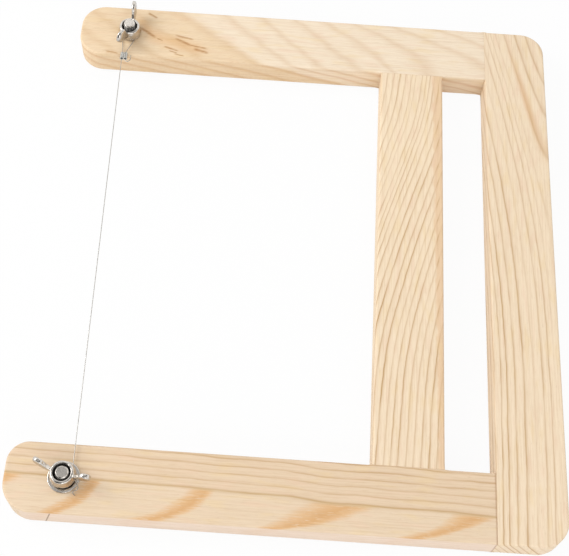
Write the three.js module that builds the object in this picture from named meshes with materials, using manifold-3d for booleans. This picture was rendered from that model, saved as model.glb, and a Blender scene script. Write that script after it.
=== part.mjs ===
// Hand-held wire cutter for bars of soap: a flat frame of four pine strips, with a steel wire
// stretched between two wing nuts across its open side.
// Millimetres, +Z up. The frame lies on its back face, z = 0, and its outline is centred on the
// origin. The arms run along X, with the wire at the -X end and the back rail at the +X end.

import * as THREE from 'three';
import { mergeVertices } from 'three/addons/utils/BufferGeometryUtils.js';
import Module from 'manifold-3d';

// Wooden frame
const FRAME_LENGTH = 240;
const FRAME_HEIGHT = 270.5;
const STRIP_THICKNESS = 13.6;
const ARM_WIDTH = 30.8;
const RAIL_WIDTH = 30.7;
const BAR_WIDTH = 31.2;
const BAR_TO_RAIL_GAP = 21.9;
const EASED_EDGE = 0.9;
const TOP_ARM_NOSE_RADIUS = 12;
const BOTTOM_ARM_NOSE_RADIUS = 9.5;
const RAIL_TOP_CORNER_RADIUS = 12;
const RAIL_BOTTOM_CORNER_RADIUS = 10.5;

// Hidden beech dowels, two in each glued butt joint
const DOWEL_DIAMETER = 6;
const DOWEL_LENGTH = 30;
const DOWEL_SPACING = 15;
const DOWEL_CHAMFER = 0.8;
const DOWEL_SIDE_CLEARANCE = 0.15;
const DOWEL_END_CLEARANCE = 0.5;

// Countersunk M6 machine screws, heads in the back face
const SCREW_DIAMETER = 6;
const SCREW_FROM_ARM_END = 25.6;
const TOP_SCREW_FROM_EDGE = 16.4;
const BOTTOM_SCREW_FROM_EDGE = 15.7;
const SCREW_TIP_ABOVE_WOOD = 8;
const SCREW_TIP_CHAMFER = 0.6;
const SCREW_HEAD_DIAMETER = 12;
const SCREW_HEAD_RIM = 0.4;
const SCREW_HEAD_BELOW_BACK = 0.2;
const SCREW_HOLE_CLEARANCE = 0.2;
const SOCKET_ACROSS_FLATS = 4;
const SOCKET_DEPTH = 2.2;

// Washers
const WASHER_BORE_CLEARANCE = 0.3;
const WOOD_WASHER_DIAMETER = 14;
const WOOD_WASHER_THICKNESS = 1;
const CLAMP_WASHER_DIAMETER = 11;
const CLAMP_WASHER_THICKNESS = 0.5;

// Cast wing nuts, M6 with a pitch of 1 mm
const NUT_BORE_CLEARANCE = 0.25;
const NUT_COUNTERSINK_DIAMETER = 7.5;
const HUB_BASE_DIAMETER = 11.6;
const HUB_TOP_DIAMETER = 10.4;
const HUB_HEIGHT = 4.7;
const HUB_ROUNDING = 0.5;
const WING_SPAN = 26;
const WING_THICKNESS = 2.6;
const WING_ROUNDING = 0.8;
const WING_TIP_HEIGHT = 9.2;
const WING_EAR_RADIUS = 2.6;
const WING_EAR_TURN = THREE.MathUtils.degToRad(145);
const WING_LOWER_EDGE = 0.7;
const WING_SWEEP = 1;
const TOP_NUT_ANGLE = THREE.MathUtils.degToRad(76);
const BOTTOM_NUT_ANGLE = THREE.MathUtils.degToRad(-12);

// Cutting wire and the double-barrelled ferrule that closes its top loop
const WIRE_DIAMETER = 0.45;
const WIRE_TO_SCREW_GAP = 0.15;
const WIRE_TURN_GAP = 0.41;
const SEAT_GAP = 0.08;
const WIRE_SIDES = 6;
const STEPS_PER_TURN = 24;
const FERRULE_LENGTH = 4.4;
const FERRULE_BARREL_DIAMETER = 2.1;
const FERRULE_BARREL_SPACING = 1.8;
const FERRULE_BORE = 1.05;
const FERRULE_BELOW_SCREW = 15.9;
const FERRULE_LEFT_OF_SCREW = 1.4;

// Places that follow from the sizes above, measured from the outline's lower left corner
const railInnerX = FRAME_LENGTH - RAIL_WIDTH;
const barRightX = railInnerX - BAR_TO_RAIL_GAP;
const barLeftX = barRightX - BAR_WIDTH;
const barCentreX = (barLeftX + barRightX) / 2;
const topArmInnerY = FRAME_HEIGHT - ARM_WIDTH;
const topScrew = new THREE.Vector2(SCREW_FROM_ARM_END, FRAME_HEIGHT - TOP_SCREW_FROM_EDGE);
const bottomScrew = new THREE.Vector2(SCREW_FROM_ARM_END, BOTTOM_SCREW_FROM_EDGE);
const screwRadius = SCREW_DIAMETER / 2;
const wireRadius = WIRE_DIAMETER / 2;
const loopRadius = screwRadius + WIRE_TO_SCREW_GAP + wireRadius;

// Heights of the stack on each screw
const woodTop = STRIP_THICKNESS;
const topLoopZ = woodTop + SEAT_GAP + wireRadius;
const topClampZ = topLoopZ + wireRadius + SEAT_GAP;
const topNutZ = topClampZ + CLAMP_WASHER_THICKNESS + SEAT_GAP;
const woodWasherTop = woodTop + WOOD_WASHER_THICKNESS;
const lowTurnZ = woodWasherTop + SEAT_GAP + wireRadius;
const highTurnZ = lowTurnZ + WIRE_DIAMETER + WIRE_TURN_GAP;
const bottomClampZ = highTurnZ + wireRadius + SEAT_GAP;
const bottomNutZ = bottomClampZ + CLAMP_WASHER_THICKNESS + SEAT_GAP;

// How finely round shapes are stepped
const ROUND_SEGMENTS = 32;
const DOWEL_SEGMENTS = 16;
const BARREL_SEGMENTS = 20;
const BORE_SEGMENTS = 12;
const CORNER_SEGMENTS = 8;
const WING_SEGMENTS = 6;
const EDGE_SEGMENTS = 2;
const CUT_OVERRUN = 5;
const REPEAT_DISTANCE = 1e-6;

const wasm = await Module();
wasm.setup();

// A closed three.js geometry as a solid that can be cut and joined
function toSolid(geometry) {
  const bare = geometry.clone();
  bare.deleteAttribute('normal');
  bare.deleteAttribute('uv');
  const merged = mergeVertices(bare, 1e-4);
  return new wasm.Manifold(new wasm.Mesh({
    numProp: 3,
    vertProperties: new Float32Array(merged.attributes.position.array),
    triVerts: new Uint32Array(merged.index.array),
  }));
}

function toGeometry(solid) {
  const mesh = solid.getMesh();
  const geometry = new THREE.BufferGeometry();
  geometry.setAttribute('position', new THREE.BufferAttribute(mesh.vertProperties, 3));
  geometry.setIndex(new THREE.BufferAttribute(mesh.triVerts, 1));
  const flat = geometry.toNonIndexed();
  flat.computeVertexNormals();
  return flat;
}

function block(x0, x1, y0, y1, z0, z1) {
  const box = new THREE.BoxGeometry(x1 - x0, y1 - y0, z1 - z0);
  box.translate((x0 + x1) / 2, (y0 + y1) / 2, (z0 + z1) / 2);
  return toSolid(box);
}

// A body turned about Z from [radius, height] pairs that start and end on the axis
function turned(profile, segments = ROUND_SEGMENTS) {
  const points = profile.map(([radius, height]) => new THREE.Vector2(radius, height));
  const lathe = new THREE.LatheGeometry(points, segments);
  lathe.rotateX(Math.PI / 2);
  return lathe;
}

function rod(radius, z0, z1, segments = ROUND_SEGMENTS) {
  return toSolid(turned([[0, z0], [radius, z0], [radius, z1], [0, z1]], segments));
}

// A rectangle whose corners, from lower left anticlockwise, have the given radii
function roundedRectangle(x0, x1, y0, y1, radii) {
  const [lowerLeft, lowerRight, upperRight, upperLeft] = radii;
  const shape = new THREE.Shape();
  shape.moveTo(x0 + lowerLeft, y0);
  shape.lineTo(x1 - lowerRight, y0);
  if (lowerRight > 0) shape.absarc(x1 - lowerRight, y0 + lowerRight, lowerRight, -Math.PI / 2, 0);
  shape.lineTo(x1, y1 - upperRight);
  if (upperRight > 0) shape.absarc(x1 - upperRight, y1 - upperRight, upperRight, 0, Math.PI / 2);
  shape.lineTo(x0 + upperLeft, y1);
  if (upperLeft > 0) shape.absarc(x0 + upperLeft, y1 - upperLeft, upperLeft, Math.PI / 2, Math.PI);
  shape.lineTo(x0, y0 + lowerLeft);
  if (lowerLeft > 0) shape.absarc(x0 + lowerLeft, y0 + lowerLeft, lowerLeft, Math.PI, 1.5 * Math.PI);
  return shape;
}

// The outline as straight steps, with no point repeated where an arc begins or ends
function withoutRepeats(shape, segments) {
  const points = shape.getPoints(segments);
  const last = points.length - 1;
  return new THREE.Shape(points.filter((point, index) => {
    const before = points[index === 0 ? last : index - 1];
    return point.distanceTo(before) > REPEAT_DISTANCE;
  }));
}

// A strip of the frame's thickness, with its long edges eased
function easedStrip(shape) {
  const strip = new THREE.ExtrudeGeometry(withoutRepeats(shape, CORNER_SEGMENTS), {
    depth: STRIP_THICKNESS - 2 * EASED_EDGE,
    bevelEnabled: true,
    bevelThickness: EASED_EDGE,
    bevelSize: EASED_EDGE,
    bevelOffset: -EASED_EDGE,
    bevelSegments: EDGE_SEGMENTS,
  });
  strip.translate(0, 0, EASED_EDGE);
  return toSolid(strip);
}

function stripBlock(x0, x1, y0, y1) {
  return block(x0, x1, y0, y1, 0, STRIP_THICKNESS);
}

// The two dowel places of a joint, either side of its middle
function dowelOffsets() {
  return [-DOWEL_SPACING / 2, DOWEL_SPACING / 2];
}

function dowelHoleAlongX(centreX, centreY) {
  const reach = DOWEL_LENGTH / 2 + DOWEL_END_CLEARANCE;
  const hole = rod(DOWEL_DIAMETER / 2 + DOWEL_SIDE_CLEARANCE, -reach, reach);
  return hole.rotate([0, 90, 0]).translate([centreX, centreY, STRIP_THICKNESS / 2]);
}

function dowelHoleAlongY(centreX, centreY) {
  const reach = DOWEL_LENGTH / 2 + DOWEL_END_CLEARANCE;
  const hole = rod(DOWEL_DIAMETER / 2 + DOWEL_SIDE_CLEARANCE, -reach, reach);
  return hole.rotate([90, 0, 0]).translate([centreX, centreY, STRIP_THICKNESS / 2]);
}

// The hole for a countersunk screw, open at both faces
function screwHole(centre) {
  const shank = screwRadius + SCREW_HOLE_CLEARANCE;
  const head = SCREW_HEAD_DIAMETER / 2 + SCREW_HOLE_CLEARANCE;
  const rimTop = SCREW_HEAD_BELOW_BACK + SCREW_HEAD_RIM;
  const hole = turned([
    [0, -CUT_OVERRUN],
    [head, -CUT_OVERRUN],
    [head, rimTop],
    [shank, rimTop + head - shank],
    [shank, STRIP_THICKNESS + CUT_OVERRUN],
    [0, STRIP_THICKNESS + CUT_OVERRUN],
  ]);
  return toSolid(hole).translate([centre.x, centre.y, 0]);
}

// An arm from its rounded nose to the back rail, square where the rail and the bar meet it
function armGeometry({ outerY, innerY, noseRadius, screw }) {
  const low = Math.min(outerY, innerY);
  const high = Math.max(outerY, innerY);
  const inward = Math.sign(innerY - outerY);
  const centreY = (low + high) / 2;
  const outline = roundedRectangle(0, railInnerX + CUT_OVERRUN, low, high, [noseRadius, 0, 0, noseRadius]);
  const seatDeep = innerY - 2 * EASED_EDGE * inward;
  let arm = easedStrip(outline);
  arm = arm.add(stripBlock(barLeftX, barRightX, Math.min(seatDeep, innerY), Math.max(seatDeep, innerY)));
  arm = arm.intersect(stripBlock(0, railInnerX, low, high));
  for (const offset of dowelOffsets()) {
    arm = arm.subtract(dowelHoleAlongX(railInnerX, centreY + offset));
    arm = arm.subtract(dowelHoleAlongY(barCentreX + offset, innerY));
  }
  return toGeometry(arm.subtract(screwHole(screw)));
}

// The back rail, full height, square where the arms butt against it
function railGeometry() {
  const outline = roundedRectangle(
    railInnerX,
    FRAME_LENGTH,
    0,
    FRAME_HEIGHT,
    [0, RAIL_BOTTOM_CORNER_RADIUS, RAIL_TOP_CORNER_RADIUS, 0],
  );
  const seatRight = railInnerX + 2 * EASED_EDGE;
  let rail = easedStrip(outline);
  rail = rail.add(stripBlock(railInnerX, seatRight, EASED_EDGE, ARM_WIDTH - EASED_EDGE));
  rail = rail.add(stripBlock(railInnerX, seatRight, topArmInnerY + EASED_EDGE, FRAME_HEIGHT - EASED_EDGE));
  for (const armCentreY of [ARM_WIDTH / 2, FRAME_HEIGHT - ARM_WIDTH / 2]) {
    for (const offset of dowelOffsets()) {
      rail = rail.subtract(dowelHoleAlongX(railInnerX, armCentreY + offset));
    }
  }
  return toGeometry(rail);
}

// The middle bar, cut square between the two arms
function barGeometry() {
  const outline = roundedRectangle(
    barLeftX,
    barRightX,
    ARM_WIDTH - CUT_OVERRUN,
    topArmInnerY + CUT_OVERRUN,
    [0, 0, 0, 0],
  );
  let bar = easedStrip(outline);
  bar = bar.intersect(stripBlock(barLeftX, barRightX, ARM_WIDTH, topArmInnerY));
  for (const jointY of [ARM_WIDTH, topArmInnerY]) {
    for (const offset of dowelOffsets()) {
      bar = bar.subtract(dowelHoleAlongY(barCentreX + offset, jointY));
    }
  }
  return toGeometry(bar);
}

function dowelGeometry() {
  const radius = DOWEL_DIAMETER / 2;
  const half = DOWEL_LENGTH / 2;
  return turned([
    [0, -half],
    [radius - DOWEL_CHAMFER, -half],
    [radius, -half + DOWEL_CHAMFER],
    [radius, half - DOWEL_CHAMFER],
    [radius - DOWEL_CHAMFER, half],
    [0, half],
  ], DOWEL_SEGMENTS);
}

// A countersunk screw with its head down and a hexagon socket in the head
function screwGeometry() {
  const base = SCREW_HEAD_BELOW_BACK;
  const head = SCREW_HEAD_DIAMETER / 2;
  const rimTop = base + SCREW_HEAD_RIM;
  const tip = STRIP_THICKNESS + SCREW_TIP_ABOVE_WOOD;
  const body = toSolid(turned([
    [0, base],
    [head, base],
    [head, rimTop],
    [screwRadius, rimTop + head - screwRadius],
    [screwRadius, tip - SCREW_TIP_CHAMFER],
    [screwRadius - SCREW_TIP_CHAMFER, tip],
    [0, tip],
  ]));
  const socketRadius = SOCKET_ACROSS_FLATS / Math.sqrt(3);
  const socket = rod(socketRadius, base - CUT_OVERRUN, base + SOCKET_DEPTH, 6);
  return toGeometry(body.subtract(socket));
}

function washerGeometry(diameter, thickness) {
  const bore = screwRadius + WASHER_BORE_CLEARANCE;
  const ring = rod(diameter / 2, 0, thickness);
  return toGeometry(ring.subtract(rod(bore, -CUT_OVERRUN, thickness + CUT_OVERRUN)));
}

// One wing in the plane of radius and height, from inside the hub out to its rounded ear
function wingSolid() {
  const reach = WING_SPAN / 2;
  const root = screwRadius + NUT_BORE_CLEARANCE + WING_ROUNDING;
  const hubBase = HUB_BASE_DIAMETER / 2;
  const hubTop = HUB_TOP_DIAMETER / 2;
  const earX = reach - WING_EAR_RADIUS;
  const earZ = WING_TIP_HEIGHT - WING_EAR_RADIUS;
  const throatZ = HUB_HEIGHT - HUB_ROUNDING;
  const shape = new THREE.Shape();
  shape.moveTo(root, WING_LOWER_EDGE);
  shape.lineTo(hubBase, WING_LOWER_EDGE);
  shape.quadraticCurveTo(reach - WING_SWEEP, WING_LOWER_EDGE + WING_SWEEP, reach, earZ);
  shape.absarc(earX, earZ, WING_EAR_RADIUS, 0, WING_EAR_TURN);
  shape.quadraticCurveTo(hubTop + WING_SWEEP, throatZ + WING_SWEEP, hubTop, throatZ);
  shape.lineTo(root, throatZ);
  const wing = new THREE.ExtrudeGeometry(withoutRepeats(shape, WING_SEGMENTS), {
    depth: WING_THICKNESS - 2 * WING_ROUNDING,
    bevelEnabled: true,
    bevelThickness: WING_ROUNDING,
    bevelSize: WING_ROUNDING,
    bevelOffset: -WING_ROUNDING,
    bevelSegments: EDGE_SEGMENTS,
  });
  wing.translate(0, 0, WING_ROUNDING - WING_THICKNESS / 2);
  wing.rotateX(Math.PI / 2);
  return toSolid(wing);
}

// A wing nut with its base at z = 0 and its wings along X
function wingNutGeometry() {
  const base = HUB_BASE_DIAMETER / 2;
  const top = HUB_TOP_DIAMETER / 2;
  const bore = screwRadius + NUT_BORE_CLEARANCE;
  const countersink = NUT_COUNTERSINK_DIAMETER / 2;
  const hub = toSolid(turned([
    [0, 0],
    [base - HUB_ROUNDING, 0],
    [base, HUB_ROUNDING],
    [top, HUB_HEIGHT - HUB_ROUNDING],
    [top - HUB_ROUNDING, HUB_HEIGHT],
    [0, HUB_HEIGHT],
  ]));
  const hole = toSolid(turned([
    [0, -CUT_OVERRUN],
    [bore, -CUT_OVERRUN],
    [bore, HUB_HEIGHT - (countersink - bore)],
    [countersink + CUT_OVERRUN, HUB_HEIGHT + CUT_OVERRUN],
    [0, HUB_HEIGHT + CUT_OVERRUN],
  ]));
  const wing = wingSolid();
  const nut = hub.add(wing).add(wing.rotate([0, 0, 180])).subtract(hole);
  return toGeometry(nut);
}

// Two barrels side by side with a bore through each, lying along Y
function ferruleGeometry() {
  const half = FERRULE_LENGTH / 2;
  const barrel = FERRULE_BARREL_DIAMETER / 2;
  const offset = FERRULE_BARREL_SPACING / 2;
  let ferrule = rod(barrel, -half, half, BARREL_SEGMENTS).translate([-offset, 0, 0]);
  ferrule = ferrule.add(rod(barrel, -half, half, BARREL_SEGMENTS).translate([offset, 0, 0]));
  for (const side of [-offset, offset]) {
    const bore = rod(FERRULE_BORE / 2, -half - CUT_OVERRUN, half + CUT_OVERRUN, BORE_SEGMENTS);
    ferrule = ferrule.subtract(bore.translate([side, 0, 0]));
  }
  return toGeometry(ferrule.rotate([90, 0, 0]));
}

// Where the ferrule lies, and the middles of its two bores
const ferruleCentre = new THREE.Vector3(
  topScrew.x - FERRULE_LEFT_OF_SCREW,
  topScrew.y - FERRULE_BELOW_SCREW,
  woodTop + SEAT_GAP + FERRULE_BARREL_DIAMETER / 2,
);
const leftBoreX = ferruleCentre.x - FERRULE_BARREL_SPACING / 2;
const rightBoreX = ferruleCentre.x + FERRULE_BARREL_SPACING / 2;
const ferruleTopY = ferruleCentre.y + FERRULE_LENGTH / 2;
const ferruleBottomY = ferruleCentre.y - FERRULE_LENGTH / 2;

function smooth(points, steps) {
  return new THREE.CatmullRomCurve3(points, false, 'centripetal').getSpacedPoints(steps);
}

// The short end that curls up beside the ferrule, then the strand that climbs to the top loop
function topEndPoints() {
  const z = ferruleCentre.z;
  const curl = smooth([
    new THREE.Vector3(rightBoreX + 2.6, ferruleCentre.y + 0.6, z),
    new THREE.Vector3(rightBoreX + 2.5, ferruleBottomY - 0.2, z + 0.1),
    new THREE.Vector3(rightBoreX + 1.2, ferruleBottomY - 1.3, z + 0.1),
    new THREE.Vector3(rightBoreX, ferruleBottomY - 0.5, z),
  ], 10);
  const strand = smooth([
    new THREE.Vector3(rightBoreX, ferruleTopY + 0.5, z),
    new THREE.Vector3(rightBoreX + 0.9, ferruleTopY + 2.8, z - 0.1),
    new THREE.Vector3(topScrew.x + 2.9, ferruleTopY + 6.4, topLoopZ + 0.2),
    new THREE.Vector3(topScrew.x + loopRadius, topScrew.y - 1, topLoopZ),
  ], 9);
  return [...curl, ...strand];
}

// Anticlockwise round the top screw, from its right side over to its left
function topLoopPoints() {
  const points = [];
  const turns = STEPS_PER_TURN / 2;
  for (let step = 0; step <= turns; step += 1) {
    const angle = (step / turns) * Math.PI;
    const x = topScrew.x + loopRadius * Math.cos(angle);
    const y = topScrew.y + loopRadius * Math.sin(angle);
    points.push(new THREE.Vector3(x, y, topLoopZ));
  }
  return points;
}

// From the left side of the top screw down into the ferrule's left bore
function leftStrandPoints() {
  return smooth([
    new THREE.Vector3(topScrew.x - loopRadius, topScrew.y - 1, topLoopZ),
    new THREE.Vector3(topScrew.x - loopRadius + 0.1, topScrew.y - 5.5, topLoopZ + 0.1),
    new THREE.Vector3(leftBoreX - 0.25, ferruleTopY + 3, ferruleCentre.z - 0.1),
    new THREE.Vector3(leftBoreX, ferruleTopY + 0.5, ferruleCentre.z),
  ], 6);
}

// Clockwise once round the bottom screw, climbing over the strand that comes in
const WRAP_DEGREES = 325;
const CLIMB_DEGREES = 270;

function bottomWrapPoints() {
  const points = [];
  const steps = Math.round((STEPS_PER_TURN * WRAP_DEGREES) / 360);
  for (let step = 0; step <= steps; step += 1) {
    const degrees = (step / steps) * WRAP_DEGREES;
    const angle = -THREE.MathUtils.degToRad(degrees);
    const climb = Math.min(degrees / CLIMB_DEGREES, 1);
    points.push(new THREE.Vector3(
      bottomScrew.x + loopRadius * Math.cos(angle),
      bottomScrew.y + loopRadius * Math.sin(angle),
      lowTurnZ + (highTurnZ - lowTurnZ) * climb,
    ));
  }
  return points;
}

// The kinked end that leaves the clamp at its lower right, in offsets from the screw
function bottomEndPoints() {
  const end = [
    [4.5, -0.6, highTurnZ],
    [6.4, -3.3, highTurnZ],
    [6.9, -4.6, highTurnZ - 0.3],
    [6.2, -5.6, highTurnZ - 0.8],
    [5, -6, woodWasherTop + 0.3],
    [4.9, -6.8, woodTop + 0.7],
    [5.9, -7.6, woodTop + 0.4],
  ];
  return smooth(end.map(([x, y, z]) => new THREE.Vector3(bottomScrew.x + x, bottomScrew.y + y, z)), 22);
}

function wirePoints() {
  return [
    ...topEndPoints(),
    ...topLoopPoints(),
    ...leftStrandPoints(),
    new THREE.Vector3(leftBoreX, ferruleBottomY - 0.5, ferruleCentre.z),
    new THREE.Vector3(bottomScrew.x + loopRadius, bottomScrew.y + loopRadius, lowTurnZ),
    ...bottomWrapPoints(),
    ...bottomEndPoints(),
  ];
}

// A closed tube: a ring of points at each place on the path, square to it and carried along
// without twist, with a fan of faces over each end
function tubeGeometry(path, radius, sides) {
  const positions = [];
  const index = [];
  const side = new THREE.Vector3(0, 0, 1);
  path.forEach((centre, ring) => {
    const before = path[Math.max(ring - 1, 0)];
    const after = path[Math.min(ring + 1, path.length - 1)];
    const tangent = after.clone().sub(before).normalize();
    side.addScaledVector(tangent, -side.dot(tangent)).normalize();
    const up = tangent.clone().cross(side);
    for (let corner = 0; corner < sides; corner += 1) {
      const angle = (corner / sides) * 2 * Math.PI;
      const point = centre.clone();
      point.addScaledVector(side, radius * Math.cos(angle)).addScaledVector(up, radius * Math.sin(angle));
      positions.push(point.x, point.y, point.z);
      if (ring > 0) {
        const next = (corner + 1) % sides;
        const here = ring * sides;
        const last = here - sides;
        index.push(last + corner, last + next, here + next, last + corner, here + next, here + corner);
      }
    }
  });
  const finalRing = (path.length - 1) * sides;
  for (let corner = 1; corner < sides - 1; corner += 1) {
    index.push(0, corner + 1, corner);
    index.push(finalRing, finalRing + corner, finalRing + corner + 1);
  }
  const tube = new THREE.BufferGeometry();
  tube.setAttribute('position', new THREE.Float32BufferAttribute(positions, 3));
  tube.setIndex(index);
  const flat = tube.toNonIndexed();
  flat.computeVertexNormals();
  return flat;
}

// The least gap between two stretches of the wire that are not next to each other
function leastGap(path) {
  const spacing = 0.2;
  const apartAlong = 3;
  const samples = [];
  for (let place = 1; place < path.length; place += 1) {
    const steps = Math.max(1, Math.ceil(path[place].distanceTo(path[place - 1]) / spacing));
    for (let step = 0; step < steps; step += 1) {
      samples.push(path[place - 1].clone().lerp(path[place], step / steps));
    }
  }
  const skip = Math.ceil((apartAlong * 1.2) / spacing);
  let least = Infinity;
  for (let first = 0; first < samples.length; first += 1) {
    for (let second = first + skip; second < samples.length; second += 1) {
      least = Math.min(least, samples[first].distanceTo(samples[second]));
    }
  }
  return least - WIRE_DIAMETER;
}

// Finishes
const finish = {
  topArmPine: { color: 0xe9cfa6, roughness: 0.7, metalness: 0 },
  bottomArmPine: { color: 0xe4c79c, roughness: 0.7, metalness: 0 },
  railPine: { color: 0xe8cda3, roughness: 0.7, metalness: 0 },
  barPine: { color: 0xe6c799, roughness: 0.7, metalness: 0 },
  beech: { color: 0xd9b58a, roughness: 0.75, metalness: 0 },
  screwSteel: { color: 0xb4b5b6, roughness: 0.3, metalness: 1 },
  washerSteel: { color: 0xb9b6b0, roughness: 0.28, metalness: 1 },
  nutSteel: { color: 0xa9a8a6, roughness: 0.24, metalness: 1 },
  wireSteel: { color: 0x9b9b9c, roughness: 0.3, metalness: 1 },
  ferruleAluminium: { color: 0xb7b5b1, roughness: 0.35, metalness: 1 },
};

// The outline's lower left corner is this group's own origin
const cutter = new THREE.Group();
cutter.position.set(-FRAME_LENGTH / 2, -FRAME_HEIGHT / 2, 0);

function addPiece(name, geometry, look, place = [0, 0, 0], turn = [0, 0, 0]) {
  const mesh = new THREE.Mesh(geometry, new THREE.MeshStandardMaterial(look));
  mesh.name = name;
  mesh.position.set(...place);
  mesh.rotation.set(...turn);
  cutter.add(mesh);
}

function addFrame() {
  addPiece('top_arm', armGeometry({
    outerY: FRAME_HEIGHT,
    innerY: topArmInnerY,
    noseRadius: TOP_ARM_NOSE_RADIUS,
    screw: topScrew,
  }), finish.topArmPine);
  addPiece('bottom_arm', armGeometry({
    outerY: 0,
    innerY: ARM_WIDTH,
    noseRadius: BOTTOM_ARM_NOSE_RADIUS,
    screw: bottomScrew,
  }), finish.bottomArmPine);
  addPiece('back_rail', railGeometry(), finish.railPine);
  addPiece('middle_bar', barGeometry(), finish.barPine);
}

function addDowels() {
  const dowel = dowelGeometry();
  const middleZ = STRIP_THICKNESS / 2;
  const joints = [
    { name: 'top', armY: FRAME_HEIGHT - ARM_WIDTH / 2, barY: topArmInnerY },
    { name: 'bottom', armY: ARM_WIDTH / 2, barY: ARM_WIDTH },
  ];
  for (const { name, armY, barY } of joints) {
    dowelOffsets().forEach((offset, index) => {
      const along = [railInnerX, armY + offset, middleZ];
      const across = [barCentreX + offset, barY, middleZ];
      addPiece(`${name}_arm_dowel_${index + 1}`, dowel, finish.beech, along, [0, Math.PI / 2, 0]);
      addPiece(`${name}_bar_dowel_${index + 1}`, dowel, finish.beech, across, [Math.PI / 2, 0, 0]);
    });
  }
}

function addClamps() {
  const screw = screwGeometry();
  const nut = wingNutGeometry();
  const clampWasher = washerGeometry(CLAMP_WASHER_DIAMETER, CLAMP_WASHER_THICKNESS);
  const woodWasher = washerGeometry(WOOD_WASHER_DIAMETER, WOOD_WASHER_THICKNESS);
  const clamps = [
    { name: 'top', at: topScrew, washerZ: topClampZ, nutZ: topNutZ, turn: TOP_NUT_ANGLE },
    { name: 'bottom', at: bottomScrew, washerZ: bottomClampZ, nutZ: bottomNutZ, turn: BOTTOM_NUT_ANGLE },
  ];
  for (const { name, at, washerZ, nutZ, turn } of clamps) {
    addPiece(`${name}_screw`, screw, finish.screwSteel, [at.x, at.y, 0]);
    addPiece(`${name}_clamp_washer`, clampWasher, finish.washerSteel, [at.x, at.y, washerZ]);
    addPiece(`${name}_wing_nut`, nut, finish.nutSteel, [at.x, at.y, nutZ], [0, 0, turn]);
  }
  addPiece('bottom_wood_washer', woodWasher, finish.washerSteel, [bottomScrew.x, bottomScrew.y, woodTop]);
}

function addWire() {
  const path = wirePoints();
  console.log(`least gap of the wire to itself: ${leastGap(path).toFixed(2)} mm`);
  addPiece('cutting_wire', tubeGeometry(path, wireRadius, WIRE_SIDES), finish.wireSteel);
  addPiece('wire_ferrule', ferruleGeometry(), finish.ferruleAluminium, ferruleCentre.toArray());
}

addFrame();
addDowels();
addClamps();
addWire();

export default cutter;
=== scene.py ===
"""The looks of a wooden wire soap cutter: pine strips, screws, washers, wing nuts, the wire and its ferrule.

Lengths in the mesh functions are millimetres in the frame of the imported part, and become metres when a mesh
is finished.
"""

import math
from functools import reduce

import bmesh
import bpy
import numpy as np
from bpy.props import FloatProperty, FloatVectorProperty, IntProperty, PointerProperty
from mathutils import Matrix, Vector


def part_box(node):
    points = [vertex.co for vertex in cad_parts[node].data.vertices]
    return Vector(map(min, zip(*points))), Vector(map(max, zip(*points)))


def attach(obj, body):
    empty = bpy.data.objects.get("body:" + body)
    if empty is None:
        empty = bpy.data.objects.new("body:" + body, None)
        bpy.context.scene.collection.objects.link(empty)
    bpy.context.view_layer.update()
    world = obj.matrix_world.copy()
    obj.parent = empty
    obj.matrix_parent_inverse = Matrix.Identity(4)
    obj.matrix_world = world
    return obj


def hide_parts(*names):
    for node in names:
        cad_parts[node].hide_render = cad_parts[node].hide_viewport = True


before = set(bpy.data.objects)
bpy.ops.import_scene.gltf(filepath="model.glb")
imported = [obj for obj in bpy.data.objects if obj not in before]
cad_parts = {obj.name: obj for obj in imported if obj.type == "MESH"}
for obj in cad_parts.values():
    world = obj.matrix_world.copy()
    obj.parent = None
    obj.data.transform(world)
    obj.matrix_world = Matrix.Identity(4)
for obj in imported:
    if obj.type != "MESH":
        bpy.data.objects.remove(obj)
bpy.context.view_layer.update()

bl_info = {
    "name": "Soap Cutter Dressing",
    "version": (1, 0, 0),
    "blender": (4, 5, 0),
    "location": "3D View > Sidebar > Soap Cutter",
    "description": "Builds the detailed surfaces and finishes of a wooden wire soap cutter",
    "category": "Object",
}

METRE = 1000.0
# The lower left corner at the back, from which the finishes and the wire's route measure.
CORNER = np.min([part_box(node)[0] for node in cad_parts], axis=0) * METRE


def span(node):
    """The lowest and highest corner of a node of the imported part, in millimetres."""
    low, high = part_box(node)
    return np.array(low) * METRE, np.array(high) * METRE


def middle_of(node):
    """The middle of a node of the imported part, in millimetres."""
    return sum(span(node)) / 2


def srgb(code):
    """A screen colour such as 0xE8CFAC as the linear red, green and blue that a shader takes."""
    channels = [((code >> shift) & 255) / 255 for shift in (16, 8, 0)]
    return tuple(c / 12.92 if c <= 0.04045 else ((c + 0.055) / 1.055) ** 2.4 for c in channels)


ARMS = ("top_arm", "bottom_arm")
DOWELS = tuple(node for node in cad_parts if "_dowel_" in node)
FRONT = span("top_arm")[1][2]
RAIL_INNER_X = span("back_rail")[0][0]
ARM_LOW_Y = span("top_arm")[0][1]
ARM_HIGH_Y = span("bottom_arm")[1][1]
BAR_LOW, BAR_HIGH = span("middle_bar")
SEAMS = (
    ((RAIL_INNER_X, ARM_LOW_Y), (RAIL_INNER_X, span("top_arm")[1][1])),
    ((RAIL_INNER_X, span("bottom_arm")[0][1]), (RAIL_INNER_X, ARM_HIGH_Y)),
    ((BAR_LOW[0], ARM_LOW_Y), (BAR_HIGH[0], ARM_LOW_Y)),
    ((BAR_LOW[0], ARM_HIGH_Y), (BAR_HIGH[0], ARM_HIGH_Y)),
)
BODY_OF = {"top": ("top_washer", "top_nut"), "bottom": ("bottom_washer", "bottom_nut")}


def metres(name, description, default, least=0.0):
    """A length in metres, never under the least."""
    return FloatProperty(
        name=name, description=description, default=default, min=least, unit="LENGTH", subtype="DISTANCE"
    )


def tint(name, description, code):
    """A colour that starts as a screen colour."""
    return FloatVectorProperty(
        name=name, description=description, default=srgb(code), size=3, subtype="COLOR", min=0, max=1
    )


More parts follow.
